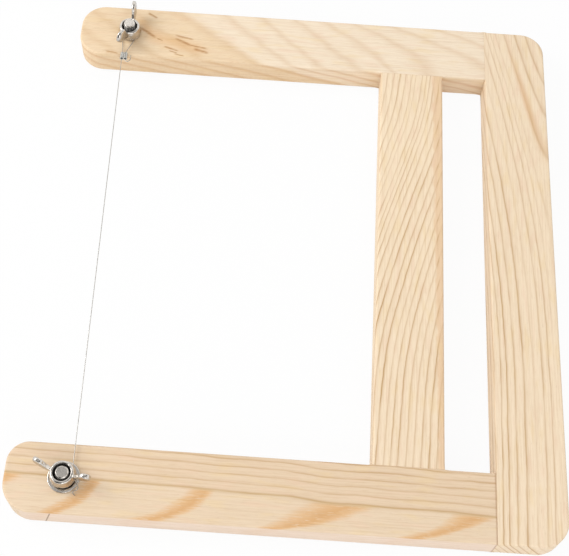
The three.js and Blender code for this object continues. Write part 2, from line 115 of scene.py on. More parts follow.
class PineSettings(bpy.types.PropertyGroup):
    edge_radius: metres("Edge rounding", "Radius of the sanded long edges of the strips", 0.0009, 0.0002)
    seam_radius: metres("Seam rounding", "Radius of the edges where two strips are glued", 0.00014, 0.00005)
    top_nose: metres("Top arm nose", "Corner radius at the free end of the top arm", 0.012)
    bottom_nose: metres("Bottom arm nose", "Radius of the inner corner at the bottom arm's free end", 0.0095)
    bottom_nose_outer: metres(
        "Bottom arm outer nose", "Radius of the outer corner at the bottom arm's free end", 0.0128
    )
    rail_top_corner: metres("Rail top corner", "Radius of the back rail's upper outer corner", 0.012)
    rail_bottom_corner: metres("Rail bottom corner", "Radius of the back rail's lower outer corner", 0.0122)
    pale_wood: tint("Pale wood", "Sapwood of the palest strip", 0xEFDEC6)
    early_wood: tint("Early wood", "Pale pine between the growth lines", 0xEEDABE)
    late_wood: tint("Late wood", "Dark pine of the growth lines", 0xB38A57)
    flame_wood: tint("Flame wood", "Orange pine where a growth ring meets the face flat", 0xD4A068)


class MetalSettings(bpy.types.PropertyGroup):
    steel: tint("Plated steel", "Colour of the wing nuts, screws and washers", 0xD6D0C8)
    ferrule: tint("Ferrule", "Colour of the crimped double sleeve", 0xC4C2BC)
    thread_pitch: metres("Thread pitch", "Rise of the screws' thread in one turn", 0.001, 0.0005)
    wing_reach: metres("Wing reach", "From a nut's axis to the tip of a wing", 0.013, 0.008)
    wing_thickness: metres("Wing thickness", "Thickness of a wing at its ear", 0.0024, 0.001)
    wing_neck: metres("Wing neck", "Thickness of a wing where it leaves the hub", 0.0018, 0.001)
    top_wing_height: metres(
        "Top wing height", "From the top nut's foot to the top of its wings", 0.0108, 0.006
    )
    top_ear_radius: metres("Top ear radius", "Radius of the round end of the top nut's wings", 0.0035, 0.001)
    top_bend: metres("Top nut bend", "How far both wings' tips of the top nut are bent to one side", 0.0015)
    bottom_wing_height: metres(
        "Bottom wing height", "From the bottom nut's foot to the top of its wings", 0.0092, 0.006
    )
    bottom_ear_radius: metres(
        "Bottom ear radius", "Radius of the round end of the bottom nut's wings", 0.0026, 0.001
    )
    bottom_bend: metres(
        "Bottom nut bend", "How far both wings' tips of the bottom nut are bent to one side", 0.0009
    )
    fusing_step: metres("Fusing step", "Grid step at which hub and wings are fused", 0.00015, 0.0001)


class WireSettings(bpy.types.PropertyGroup):
    diameter: metres("Wire diameter", "Thickness of the cutting wire", 0.00036, 0.0002)
    sides: IntProperty(name="Wire sides", description="Faces round the wire", default=12, min=6)
    colour: tint("Wire", "Colour of the cutting wire", 0xB9B5AF)


class StageSettings(bpy.types.PropertyGroup):
    camera_place: FloatVectorProperty(
        name="Camera place", description="Where the camera stands",
        default=(-0.01115, -0.26259, 0.48856), size=3, unit="LENGTH", subtype="TRANSLATION",
    )
    camera_turn: FloatVectorProperty(
        name="Camera turn", description="The camera's rotation about X, Y and Z",
        default=tuple(math.radians(a) for a in (27.2134, -1.6465, 3.5798)), size=3, subtype="EULER",
    )
    camera_shift: FloatVectorProperty(
        name="Camera shift", description="How far the picture is shifted, in shares of its width",
        default=(0.02346, -0.0005), size=2,
    )
    lens: FloatProperty(
        name="Lens", description="Focal length on a sensor 36 mm wide",
        default=72.93, unit="CAMERA", min=10,
    )
    sky: FloatProperty(
        name="Sky light", description="Strength of the even light from all round", default=0.75,
    )
    key: FloatProperty(
        name="Key light", description="Power of the soft lamp at the left", default=8.0, subtype="POWER",
    )
    fill: FloatProperty(
        name="Fill light", description="Power of the soft lamp in front", default=4.5, subtype="POWER",
    )


def full_turn(steps):
    """Angles at even steps once round, from 0."""
    return np.linspace(0, 2 * np.pi, steps, endpoint=False)


def ease(share):
    """Goes smoothly from 0 to 1, as three squares less two cubes."""
    return share * share * (3 - 2 * share)


def add_to_scene(name, data):
    """A new object with this data."""
    made = bpy.data.objects.new(name, data)
    bpy.context.scene.collection.objects.link(made)
    return made


def grid_faces(rows, columns, first=0, joined=False):
    """Quads between the points of a grid whose columns close into a ring, and whose rows do too if joined."""
    row = np.arange(rows if joined else rows - 1)[:, None]
    column = np.arange(columns)[None, :]
    here, below, after = row * columns, (row + 1) % rows * columns, (column + 1) % columns
    quads = np.stack([here + column, here + after, below + after, below + column], -1)
    return (quads.reshape(-1, 4) + first).tolist()


def build(name, *bodies):
    """An object, still in millimetres and turned outwards, made of bodies: each is an array of rings, rows by
    columns by 3, and the word for its ends.

    "capped" puts a flat face over the first and the last ring, and "joined" carries the last ring on to the
    first. "merged" leaves both to close by themselves, as lines whose points are merged."""
    points, faces, first = [], [], 0
    for rings, ends in bodies:
        rows, columns = rings.shape[:2]
        faces += grid_faces(rows, columns, first, ends == "joined")
        if ends == "capped":
            faces += [list(range(start, start + columns)) for start in (first, first + (rows - 1) * columns)]
        points.append(rings.reshape(-1, 3))
        first += rows * columns
    mesh = bpy.data.meshes.new(name)
    mesh.from_pydata(np.concatenate(points).tolist(), [], faces)
    edit = bmesh.new()
    edit.from_mesh(mesh)
    bmesh.ops.remove_doubles(edit, verts=edit.verts, dist=1e-4)
    bmesh.ops.dissolve_degenerate(edit, edges=edit.edges, dist=1e-5)
    bmesh.ops.recalc_face_normals(edit, faces=edit.faces)
    edit.to_mesh(mesh)
    edit.free()
    return add_to_scene(name, mesh)


def apply_modifiers(piece):
    """Puts the result of the piece's modifiers into its mesh and removes them."""
    graph = bpy.context.evaluated_depsgraph_get()
    finished = bpy.data.meshes.new_from_object(piece.evaluated_get(graph))
    piece.modifiers.clear()
    old = piece.data
    piece.data = finished
    bpy.data.meshes.remove(old)


def cut_away(piece, cutters):
    """Takes the cutters' bodies out of the piece, and removes them from the scene."""
    for cutter in cutters:
        cut = piece.modifiers.new("cut", "BOOLEAN")
        cut.operation = "DIFFERENCE"
        cut.solver = "EXACT"
        cut.object = cutter
    apply_modifiers(piece)
    for cutter in cutters:
        bpy.data.objects.remove(cutter)


def fuse(piece, step, rounds):
    """Makes one skin of a piece's bodies on a grid with this step, and smooths it so many times."""
    skin = piece.modifiers.new("skin", "REMESH")
    skin.mode = "VOXEL"
    skin.voxel_size = step
    soften = piece.modifiers.new("soften", "SMOOTH")
    soften.iterations = rounds
    apply_modifiers(piece)


def points_of(piece):
    """The mesh's points as an array, one row each."""
    points = np.empty(len(piece.data.vertices) * 3, np.float32)
    piece.data.vertices.foreach_get("co", points)
    return points.reshape(-1, 3)


def paint_shade_and_grime(piece, amount):
    """Keeps how dark each point of the mesh is painted, from 0 to 1, for the metal's finish to read: painted
    shade in recesses, and darker thread grooves on the screws.
    """
    layer = piece.data.attributes.new("grime", "FLOAT", "POINT")
    layer.data.foreach_set("value", np.ascontiguousarray(amount, np.float32))


def finish_piece(piece, material, body, nodes, sharp_angle=35):
    """Makes the mesh metres and smooth up to an angle, and puts the piece on its body in its nodes' place."""
    piece.data.vertices.foreach_set("co", (points_of(piece) / METRE).ravel())
    piece.data.polygons.foreach_set("use_smooth", np.ones(len(piece.data.polygons), bool))
    piece.data.set_sharp_from_angle(angle=math.radians(sharp_angle))
    piece.data.materials.clear()
    piece.data.materials.append(material)
    piece.data.update()
    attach(piece, body)
    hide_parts(*nodes)
    return piece


def turned(profile, centre, steps=96):
    """Rings of a body turned about a vertical axis: a circle for each profile point (radius, height)."""
    angle = full_turn(steps)
    radius, height = np.asarray(profile, float).T
    x = centre[0] + radius[:, None] * np.cos(angle)
    y = centre[1] + radius[:, None] * np.sin(angle)
    z = np.broadcast_to((centre[2] + height)[:, None], x.shape)
    return np.stack([x, y, z], -1)


def rounded_section(inner, outer, low, high, radius, steps=5):
    """A ring's closed section: a rectangle from inner to outer radius with quarter circles for corners."""
    quarter = np.linspace(0, np.pi / 2, steps)
    corners = [
        (outer - radius, low + radius, -np.pi / 2),
        (outer - radius, high - radius, 0.0),
        (inner + radius, high - radius, np.pi / 2),
        (inner + radius, low + radius, np.pi),
    ]
    arcs = [
        np.stack([x + radius * np.cos(start + quarter), y + radius * np.sin(start + quarter)], 1)
        for x, y, start in corners
    ]
    return np.concatenate(arcs)


class Signal:
    """One output of a shader node. Arithmetic on it adds Math nodes."""

    def __init__(self, graph, socket):
        self.graph = graph
        self.socket = socket

    def math(self, operation, *others):
        values = dict(enumerate((self, *others)))
        return self.graph.node("ShaderNodeMath", {"operation": operation}, values)

    def __add__(self, other):
        return self.math("ADD", other)

    __radd__ = __add__

    def __mul__(self, other):
        return self.math("MULTIPLY", other)

    __rmul__ = __mul__

    def __sub__(self, other):
        return self.math("SUBTRACT", other)

    def __rsub__(self, other):
        return self * -1.0 + other

    def __truediv__(self, other):
        return self.math("DIVIDE", other)

    def __abs__(self):
        return self.math("ABSOLUTE")

    def fraction(self):
        return self.math("FRACT")

    def floor(self):
        return self.math("FLOOR")

    def most(self, other):
        return self.math("MAXIMUM", other)

    def rise(self, start, end, low=0.0, high=1.0):
        """Goes smoothly from low to high as the signal goes from start to end."""
        values = {"Value": self, "From Min": start, "From Max": end, "To Min": low, "To Max": high}
        return self.graph.node("ShaderNodeMapRange", {"interpolation_type": "SMOOTHSTEP"}, values)

    def bell(self, middle, width):
        """1 where the signal is at the middle, falling smoothly to 0 at one width away on both sides."""
        return abs(self - middle).rise(width, 0.0)

    def ramp(self, stops):
        return self.graph.node("ShaderNodeValToRGB", {"stops": stops}, {0: self})

    def through(self, points):
        """The height of a smooth curve through the points (from, to) at the signal."""
        lows, highs = np.min(points, 0), np.max(points, 0)
        inside = [tuple((np.array(p) - lows) / (highs - lows)) for p in points]
        scaled = (self - float(lows[0])) / float(highs[0] - lows[0])
        curve = self.graph.node("ShaderNodeFloatCurve", {"points": inside}, {1: scaled})
        return curve * float(highs[1] - lows[1]) + float(lows[1])


class Graph:
    """A shader node tree that is built one call at a time."""

    MIX_FACTOR, MIX_A, MIX_B, MIX_RESULT = 0, 6, 7, 2

    def __init__(self, owner):
        owner.use_nodes = True
        self.tree = owner.node_tree
        self.tree.nodes.clear()

    def node(self, kind, settings=None, sockets=None, output=0):
        """Adds a node: its settings first, then the values or links of its sockets. Returns one output."""
        made = self.tree.nodes.new(kind)
        for name, value in (settings or {}).items():
            if name == "stops":
                set_stops(made.color_ramp, value)
            elif name == "points":
                set_curve(made.mapping, value)
            else:
                setattr(made, name, value)
        for key, value in (sockets or {}).items():
            if isinstance(value, Signal):
                self.tree.links.new(value.socket, made.inputs[key])
            else:
                made.inputs[key].default_value = value
        return Signal(self, made.outputs[output]) if len(made.outputs) else None

    def mix(self, factor, first, second):
        """A colour between two colours."""
        first, second = ((*c, 1.0) if isinstance(c, tuple) else c for c in (first, second))
        sockets = {self.MIX_FACTOR: factor, self.MIX_A: first, self.MIX_B: second}
        return self.node("ShaderNodeMix", {"data_type": "RGBA"}, sockets, self.MIX_RESULT)

    def split(self, vector):
        """The three numbers of a vector."""
        return tuple(self.node("ShaderNodeSeparateXYZ", {}, {0: vector}, output=axis) for axis in "XYZ")

    def point(self, x, y, z):
        return self.node("ShaderNodeCombineXYZ", {}, {0: x, 1: y, 2: z})

    def noise(self, where, detail=2.0, rough=0.5, scale=1.0):
        """Soft random values about one half, as many blots to each unit of the place as the scale."""
        return self.node(
            "ShaderNodeTexNoise", {}, {"Vector": where, "Scale": scale, "Detail": detail, "Roughness": rough}
        )

    def light_path(self, ray):
        return self.node("ShaderNodeLightPath", output=ray)


class Finish(Graph):
    """A material being built, with the place on the object in millimetres from the frame's lower left."""

    def __init__(self, name):
        self.material = bpy.data.materials.new(name)
        super().__init__(self.material)
        place = self.node("ShaderNodeTexCoord", output="Object")
        scaled = self.node("ShaderNodeVectorMath", {"operation": "SCALE"}, {0: place, "Scale": METRE})
        sockets = {0: scaled, 1: tuple(CORNER)}
        self.place = self.node("ShaderNodeVectorMath", {"operation": "SUBTRACT"}, sockets)
        self.x, self.y, self.z = self.split(self.place)

    def bump(self, height, distance, strength=1.0):
        return self.node(
            "ShaderNodeBump", {}, {"Height": height, "Distance": distance, "Strength": strength}, "Normal"
        )

    def close(self, **sockets):
        """Ends the material in a Principled shader with these socket values."""
        named = {key.replace("_", " "): value for key, value in sockets.items()}
        self.end(self.node("ShaderNodeBsdfPrincipled", {}, named))
        return self.material

    def end(self, surface):
        self.node("ShaderNodeOutputMaterial", {}, {"Surface": surface})


def set_stops(ramp, stops):
    """Gives a colour ramp these stops: (place, grey or colour)."""
    while len(ramp.elements) > 1:
        ramp.elements.remove(ramp.elements[-1])
    for i, (place, tone) in enumerate(stops):
        element = ramp.elements[0] if i == 0 else ramp.elements.new(place)
        element.position = place
        element.color = (*tone, 1.0) if isinstance(tone, tuple) else (tone, tone, tone, 1.0)


def set_curve(mapping, points):
    """Gives a curve mapping these points, with straight ends carried on."""
    curve = mapping.curves[0]
    mapping.use_clip = False
    mapping.extend = "EXTRAPOLATED"
    for x, y in points[1:-1]:
        curve.points.new(x, y)
    curve.points[0].location = points[0]
    curve.points[len(points) - 1].location = points[-1]
    for point in curve.points:
        point.handle_type = "AUTO_CLAMPED"
    mapping.update()


# The wood's tables are in millimetres of a strip, along and across it. GRAIN: how far its growth lines have
# moved across it at a place along it. RINGS: where the lines cross it when they haven't moved. FLAMES: the
# left and the right edge of each flame, as places across and along. BOUNDARY: where the bottom arm's lines
# end and its flames begin. TOP_BANDS and TOP_LEAN: the number of a band and how far it leans, at a place
# along the upper edge. STREAKS: start, end and width of each dark streak. STREAK_LEAN: how far a streak moves
# along the arm with each millimetre of depth. The rest are colour ramps from one growth line, flame edge or
# band to the next.
GROWTH_LINE = (
    (0, 1.0), (0.05, 0.5), (0.12, 0.08), (0.3, 0), (0.68, 0.08), (0.86, 0.36), (0.95, 0.92), (1, 1.0),
)

RAIL_GRAIN = ((0, 24.9), (50, 14.0), (100, 6.2), (150, 1.6), (200, 0.0), (235, 0.3), (271, 1.0))
RAIL_RINGS = (-21.0, -15.6, -10.0, -4.4, 0.2, 2.8, 5.3, 8.6, 12.7, 17.2, 21.2, 24.8, 27.4, 30.5)
BAR_GRAIN = (
    (0, 0.0), (20, 2.6), (50, 10.3), (75, 18.0), (100, 25.5),
    (130, 33.2), (150, 37.5), (170, 39.8), (209, 42.2),
)
BAR_RINGS = (
    -41.8, -38.4, -35.0, -31.6, -28.2, -25.0, -21.5, -18.4, -15.5, -12.1, -9.0, -5.2, -2.3,
    1.1, 3.7, 6.0, 7.9, 10.1, 13.4, 15.4, 18.5, 21.5, 24.6, 27.8, 31.0,
)
LOW_ARM_GRAIN = ((0, 0.0), (40, 0.8), (70, 1.2), (100, 2.2), (120, 2.4), (145, 4.3), (165, 4.2), (209, 5.2))
LOW_ARM_RINGS = (-7.2, -3.6, -0.3, 3.1, 6.6, 10.3, 14.2)
LOW_ARM_BOUNDARY = 14.2
FLAMES = (
    (((14, -12), (31, -20)), ((14, 11), (16, 9), (18, 5.5), (20, 2), (31, -8))),
    (
        ((14, 34), (17, 32), (22, 29), (26, 23), (31, 15)),
        ((14, 44), (16, 42.5), (20, 40), (25, 36), (31, 26)),
    ),
    (
        ((16, 79), (20, 75), (23, 71), (25, 68), (27, 65), (31, 52)),
        ((16, 91), (18, 89.5), (21, 87), (25, 83), (28, 77), (31, 71)),
    ),
    (
        ((17, 131), (19, 128), (23, 121), (25, 117.5), (28, 114), (31, 108)),
        ((18, 161), (20, 157), (22.5, 151), (25, 146), (27, 139), (29, 131), (31, 119)),
    ),
    (
        ((18, 192), (22, 187), (25.5, 183), (27.5, 177), (31, 166)),
        ((19, 211), (21, 207), (23.5, 202), (26, 195), (29, 187), (31, 179)),
    ),
)
TOP_BANDS = (
    (-20, -3), (0, -2), (22, -1), (48, 0), (73, 1), (92, 2),
    (110, 3), (124, 4), (140, 5), (160, 6), (182, 7), (205, 8),
)
TOP_LEAN = (
    (0, 40), (48, 42), (73, 35), (92, 32), (110, 34), (123, 46), (140, 62), (160, 75), (182, 88), (209, 95),
)
TOP_BAND = ((0, 1.0), (0.1, 0.6), (0.2, 0.1), (0.35, 0), (0.72, 0.05), (0.88, 0.5), (1, 1.0))
STREAK_LEAN = 1.5
FLAME = ((0, 0.0), (0.12, 0.4), (0.3, 0.8), (0.6, 1.0), (0.8, 0.8), (0.93, 0.25), (1.0, 0.0))
STREAKS = (
    ((31, 13), (38, 17.5), 1.3), ((50, 16), (57.5, 17.9), 0.9), ((50, 18.3), (57, 21.6), 1.2),
    ((57, 21.6), (65, 23.2), 0.8), ((60, 24), (66, 25.8), 1.3), ((44.5, 23.5), (50.5, 25.2), 0.9),
    ((47, 25.8), (50.5, 26.9), 0.7), ((50, 27.8), (54, 28.6), 0.6), ((15, 29), (20, 30), 0.7),
    ((40, 19), (42.5, 19.9), 0.7), ((34, 3), (38, 5), 1.0),
)


def in_strip(finish, node):
    """Along, across and under the front face of a strip: along from its top or free end, across from its
    upper edge on an arm and from its right edge on an upright strip."""
    low, high = (corner - CORNER for corner in span(node))
    under = float(high[2]) - finish.z
    if node in ARMS:
        return finish.x - float(low[0]), float(high[1]) - finish.y, under
    return float(high[1]) - finish.y, float(high[0]) - finish.x, under


def grain_noise(strip, lengthwise, crosswise, detail=1.0, rough=0.5):
    """Noise that is drawn out along a strip: so many blots to a millimetre lengthwise and crosswise."""
    along, across, under = strip
    graph = along.graph
    place = graph.point(along * lengthwise, across * crosswise, under * crosswise)
    return graph.noise(place, detail, rough)


def wood(name):
    """One of the pine's colours from the settings."""
    return tuple(getattr(bpy.context.scene.cutter_pine, name))


def pine(finish, strip, base, line, warmth, stains_and_painted_light=()):
    """Sanded pine. The base colour is warmed where the board is resinous and, on the top arm's sides, as
    painted shade, then takes each stain and each layer of painted light and shade, then the dark late wood of
    the growth lines. Long fibres, fine hairs and short pores along the grain change it all a little, and they
    raise and sink the surface together with the lines."""
    along, across, under = strip
    late = wood("late_wood")
    fibre = grain_noise(strip, 0.035, 1.5, 4.0, 0.6)
    hair = grain_noise(strip, 0.16, 6.0, 2.0)
    blush = finish.noise(finish.point(along * 0.07 + 9.0, across * 0.3, under * 0.3), 1.0)
    pore = grain_noise(strip, 0.3, 3.6).rise(0.68, 0.8)
    colour = finish.mix(warmth, base, wood("flame_wood"))
    colour = finish.mix(blush.rise(0.52, 0.75, 0.0, 0.35), colour, srgb(0xE9C9AE))
    colour = finish.mix(blush.rise(0.48, 0.25, 0.0, 0.3), colour, srgb(0xE8CC98))
    for amount, tone in stains_and_painted_light:
        colour = finish.mix(amount, colour, srgb(tone))
    colour = finish.mix(line, colour, late)
    colour = finish.mix(fibre.rise(0.4, 0.75, 0.0, 0.22), colour, late)
    colour = finish.mix(hair.rise(0.5, 0.8, 0.0, 0.3), colour, late)
    colour = finish.mix(pore * 0.2, colour, srgb(0x8E6233))
    return finish.close(
        Base_Color=colour,
        Roughness=fibre.rise(0.3, 0.7, 0.48, 0.62),
        Specular_IOR_Level=0.3,
        Normal=finish.bump(fibre * 0.4 + hair * 0.3 + line * 0.25 - pore * 0.4, 0.00014, 0.5),
    )


def ring_phase(strip, shift, rings, lean, waves):
    """Counts growth lines across a strip: the shift moves them across it, they lean under the face, and they
    waver a little."""
    across, under = strip[1:]
    waver = grain_noise(strip, 0.035, 0.04) - 0.5
    tremble = grain_noise(strip, 0.16, 0.12) - 0.5
    place = across - shift + under * lean + waver * waves + tremble * 0.5
    return place.through([(ring, i) for i, ring in enumerate(rings)])


def growth_lines(phase, along, low, high):
    """The dark lines at the phase's whole numbers. Each has another strength between low and high, from
    random values, which also changes slowly along it."""
    graph = phase.graph
    number = (phase + 0.5).floor()
    whole = graph.noise(graph.point(number * 7.31, 0.0, 0.0), 0.0).rise(0.3, 0.7, low, high)
    local = graph.noise(graph.point(number * 3.7, along * 0.04, 2.0), 1.0).rise(0.3, 0.6, 0.65, 1.15)
    return phase.fraction().ramp(GROWTH_LINE) * (whole * local)


def rail_pine():
    """The back rail: lines that leave the outer edge at the top and run straight below, and one of them is
    thick and warm near the top."""
    finish = Finish("pine_back_rail")
    strip = along, across, _ = in_strip(finish, "back_rail")
    bulge = 5.0 * (across * -0.2).math("EXPONENT") * along.bell(85.0, 90.0)
    phase = ring_phase(strip, along.through(RAIL_GRAIN) - bulge, RAIL_RINGS, 0.6, 1.0)
    line = growth_lines(phase, along, 0.22, 0.78)
    smooth = along.rise(90.0, 160.0) * across.rise(5.8, 2.5) * 0.75
    line = line * along.rise(60.0, 200.0, 0.8, 1.0) * (1.0 - smooth)
    thick = phase.bell(2.9, 0.5) * along.bell(45.0, 50.0)
    return pine(finish, strip, wood("early_wood"), line.most(thick * 0.15), thick * 0.5)


def bar_pine():
    """The middle bar: lines that sweep across it, ending at a plain orange band along the right edge."""
    finish = Finish("pine_middle_bar")
    strip = along, across, _ = in_strip(finish, "middle_bar")
    phase = ring_phase(strip, along.through(BAR_GRAIN), BAR_RINGS, 0.5, 0.7)
    edge = finish.noise(finish.point(along * 0.12, 0.0, 0.0), 1.0).rise(0.3, 0.7, -0.6, 0.6)
    band = (across + edge - along.rise(0.0, 210.0, 4.6, 2.4)).rise(1.0, -0.4)
    line = growth_lines(phase, along, 0.38, 0.95)
    line = line * along.rise(20.0, 190.0, 0.62, 0.95) * (1.0 - band * 0.6)
    tip = phase.fraction().ramp(GROWTH_LINE) * (across - 2.6).bell(0.0, 1.6) * 0.55
    pale = finish.mix(along.rise(20.0, 200.0), srgb(0xF1DDC0), wood("early_wood"))
    return pine(finish, strip, pale, line.most(tip), band * 0.36)


def flame(strip, left, right):
    """A cathedral flame: nothing outside its left and right edges, whose places change across the strip, and
    most colour between them. Both edges fray along the grain."""
    along, across, under = strip
    fray = grain_noise(strip, 0.08, 1.3, 3.0, 0.6) - 0.5
    start, end = across.through(left), across.through(right)
    share = (along + under * 0.8 + fray * 7.0 - start) / (end - start)
    return share.ramp(FLAME)


def bottom_arm_pine():
    """The bottom arm: nearly straight lines above a boundary, and wide orange flames in cream wood below."""
    finish = Finish("pine_bottom_arm")
    strip = along, across, under = in_strip(finish, "bottom_arm")
    shift = along.through(LOW_ARM_GRAIN)
    phase = ring_phase(strip, shift, LOW_ARM_RINGS, 0.25, 2.2)
    below = across - shift - LOW_ARM_BOUNDARY
    line = growth_lines(phase, along, 0.32, 0.65) * below.rise(1.6, 0.2)
    flames = reduce(Signal.most, (flame(strip, *edges) for edges in FLAMES)) * below.rise(-0.8, 1.2)
    dash = grain_noise(strip, 0.22, 3.2).rise(0.62, 0.68)
    # The outer side face, where the nick also is. Painted light: this face is painted paler and pinker, with
    # fainter flames, as if lit from the front.
    outer = under.rise(0.5, 1.3) * across.rise(29.6, 30.4)
    nick = (along + under * 0.27 - 22.0).bell(0.0, 0.5) * outer
    flames = flames * (1.0 - dash * 0.7) * (1.0 - outer * 0.5)
    stains_and_painted_light = (
        (flames * 0.8, 0xDCAB72),
        (flames.rise(0.75, 1.0) * 0.2, 0xC08648),
        (below.bell(0.0, 1.2) * 0.3, 0xB59A5C),
        # Painted light: the outer side face made paler and pinker.
        (outer * 0.6, 0xEEDACC),
        (nick * 0.75, 0x6B4A2E),
        # Darker at the arm's end by the rail: a dark joint, and painted shade of the seam's gap.
        (along.rise(208.3, 209.2) * 0.5, 0x9A6B48),
    )
    above = below.rise(1.0, -1.0)
    return pine(finish, strip, srgb(0xE2CCB0), line, above * 0.06, stains_and_painted_light)


def streak(strip, start, end, width):
    """A short resin streak: 1 near the line from start to end, 0 at its width away and past its ends."""
    along, across, under = strip
    run = np.subtract(end, start)
    length = float(np.hypot(*run))
    dx, dy = (float(v) for v in run / length)
    ahead, over = along - under * STREAK_LEAN - start[0], across - start[1]
    forward, aside = ahead * dx + over * dy, over * dx - ahead * dy
    return abs(forward - length / 2).rise(length * 0.75, length * 0.4) * aside.bell(0.0, width)


def top_arm_pine():
    """The top arm: pale wood with soft slanting bands, and an orange zone with dark streaks at its end."""
    finish = Finish("pine_top_arm")
    strip = along, across, under = in_strip(finish, "top_arm")
    share = across / 30.0
    waver = finish.noise(finish.point(along * 0.05, across * 0.14, under * 0.1), 2.0) - 0.5
    place = along - under * 3.6 + waver * 7.0
    first = place - share * 40.0
    second = place - share * first.through(TOP_LEAN)
    phase = (place - share * second.through(TOP_LEAN)).through(TOP_BANDS)
    band = phase.fraction().ramp(TOP_BAND)
    # The side faces. Painted shade: through the warmth and a stain they are painted warmer and darker orange
    # than the front, with the grain's bands carried round onto them.
    side = under.rise(0.4, 1.6)
    resin = (phase - 0.15).rise(0.2, -0.3)
    frayed = (along, across + waver * 2.0, under)
    dark = reduce(Signal.most, (streak(frayed, *mark) for mark in STREAKS))
    hair = finish.noise(finish.point((along - across * 1.2) * 0.12, (across + along * 0.4) * 1.5, under), 2.0)
    dark = dark * hair.rise(0.3, 0.55, 0.5, 1.0)
    halo = streak(frayed, (36, 17), (62, 24), 6.0).most(streak(frayed, (30, 8), (38, 18), 4.0))
    stains_and_painted_light = (
        (resin * 0.42, 0xE0BE8C),
        (halo * 0.4, 0xDCA768),
        (resin * hair.rise(0.5, 0.68) * 0.12, 0xC79255),
        (dark * 0.75, 0xA97239),
        (side * band * 0.22, 0xC98F52),
    )
    warmth = band * 0.12 + side * 0.1
    return pine(finish, strip, wood("pale_wood"), band * 0.14, warmth, stains_and_painted_light)


def beech():
    """Turned beech: pinkish, with short dark flecks along the pin."""
    finish = Finish("beech_dowel")
    flecks = finish.noise(finish.point(finish.x * 0.9, finish.y * 0.9, finish.z * 4.0), 3.0).rise(0.55, 0.7)
    colour = finish.mix(flecks * 0.6, srgb(0xD9B58A), srgb(0xA97B52))
    return finish.close(Base_Color=colour, Roughness=0.6, Normal=finish.bump(flecks, 0.0001, 0.4))


# Depth of the scratches at full strength, in metres.
MARK_DEPTH = 0.00002


def plated_steel(name, colour, roughness, scratch, dents=0.0):
    """Bright plated steel: clouds of duller metal, fine scratches, soft dents of this depth in metres, and
    a near-black colour where the mesh says so: painted shade in the recesses of the nuts and the ferrule,
    and darker grooves in the screws' thread."""
    finish = Finish(name)
    clouds = finish.noise(finish.place, 4.0, 0.6)
    specks = finish.noise(finish.place, scale=3.1)
    swells = finish.noise(finish.place, 2.0, 0.4, 0.55)
    marks = finish.noise(finish.point(finish.x * 5.0, finish.y * 0.7, finish.z * 5.0), 3.0, 0.6)
    # Painted shade: where the mesh's attribute says, recesses turn near black, less metallic and rougher; on
    # the screws it darkens the thread's grooves.
    grime = finish.node("ShaderNodeAttribute", {"attribute_name": "grime"}, output="Fac")
    toned = finish.mix(clouds.rise(0.35, 0.75) * 0.5, colour, tuple(0.5 * c for c in colour))
    toned = finish.mix(specks.rise(0.6, 0.72) * 0.6, toned, srgb(0x6A5F52))
    toned = finish.mix(grime, toned, srgb(0x1C1A18))
    return finish.close(
        Base_Color=toned,
        Metallic=1.0 - grime * 0.7,
        Roughness=clouds.rise(0.3, 0.7, roughness * 0.7, roughness * 1.5) + grime * 0.5,
        Normal=finish.bump(marks * scratch + swells * (dents / MARK_DEPTH), MARK_DEPTH),
    )


def outline_of(low, high, radii, step=1.1, arc_steps=16, spacers=12):
    """A rectangle with its own radius at each corner, as points and outward normals, anticlockwise.

    The first coordinate is the long one. The corners are arcs, in order from low, low: low low, high low,
    high high, low high. Both long sides are divided at the same places between the two points that lie half
    a width from the ends, so that they can meet on the middle line."""
    low, high = np.asarray(low), np.asarray(high)
    half = (high[1] - low[1]) / 2
    shared = np.linspace(low[0] + half, high[0] - half, int((high[0] - low[0]) / step))
    arcs = []
    for quarter, side in enumerate(((-1, -1), (1, -1), (1, 1), (-1, 1))):
        turn = (quarter + 2 + np.linspace(0, 1, arc_steps)) * np.pi / 2
        normals = np.stack([np.cos(turn), np.sin(turn)], 1)
        centre = np.where(np.array(side) > 0, high, low) - radii[quarter] * np.array(side)
        arcs.append((centre + radii[quarter] * normals, normals))
    parts = []
    for quarter, (points, normals) in enumerate(arcs):
        start, end = points[-1], arcs[(quarter + 1) % 4][0][0]
        if quarter % 2:
            line = np.linspace(start, end, spacers)[1:-1]
        else:
            row = shared if quarter == 0 else shared[::-1]
            before = np.linspace(start[0], row[0], spacers)[1:-1]
            along = np.concatenate([before, row, np.linspace(row[-1], end[0], spacers)[1:-1]])
            line = np.stack([along, np.full(len(along), start[1])], 1)
        parts += [(points, normals), (line, np.tile(normals[-1], (len(line), 1)))]
    return tuple(np.concatenate(column) for column in zip(*parts))


def seam_distance(points):
    """How far each point of an outline lies from the nearest glued seam."""
    starts, ends = (np.array([seam[i] for seam in SEAMS]) for i in (0, 1))
    run = ends - starts
    share = np.einsum("pqk,qk->pq", points[:, None] - starts, run) / (run**2).sum(1)
    nearest = starts + np.clip(share, 0, 1)[..., None] * run
    return np.linalg.norm(points[:, None] - nearest, axis=2).min(1)


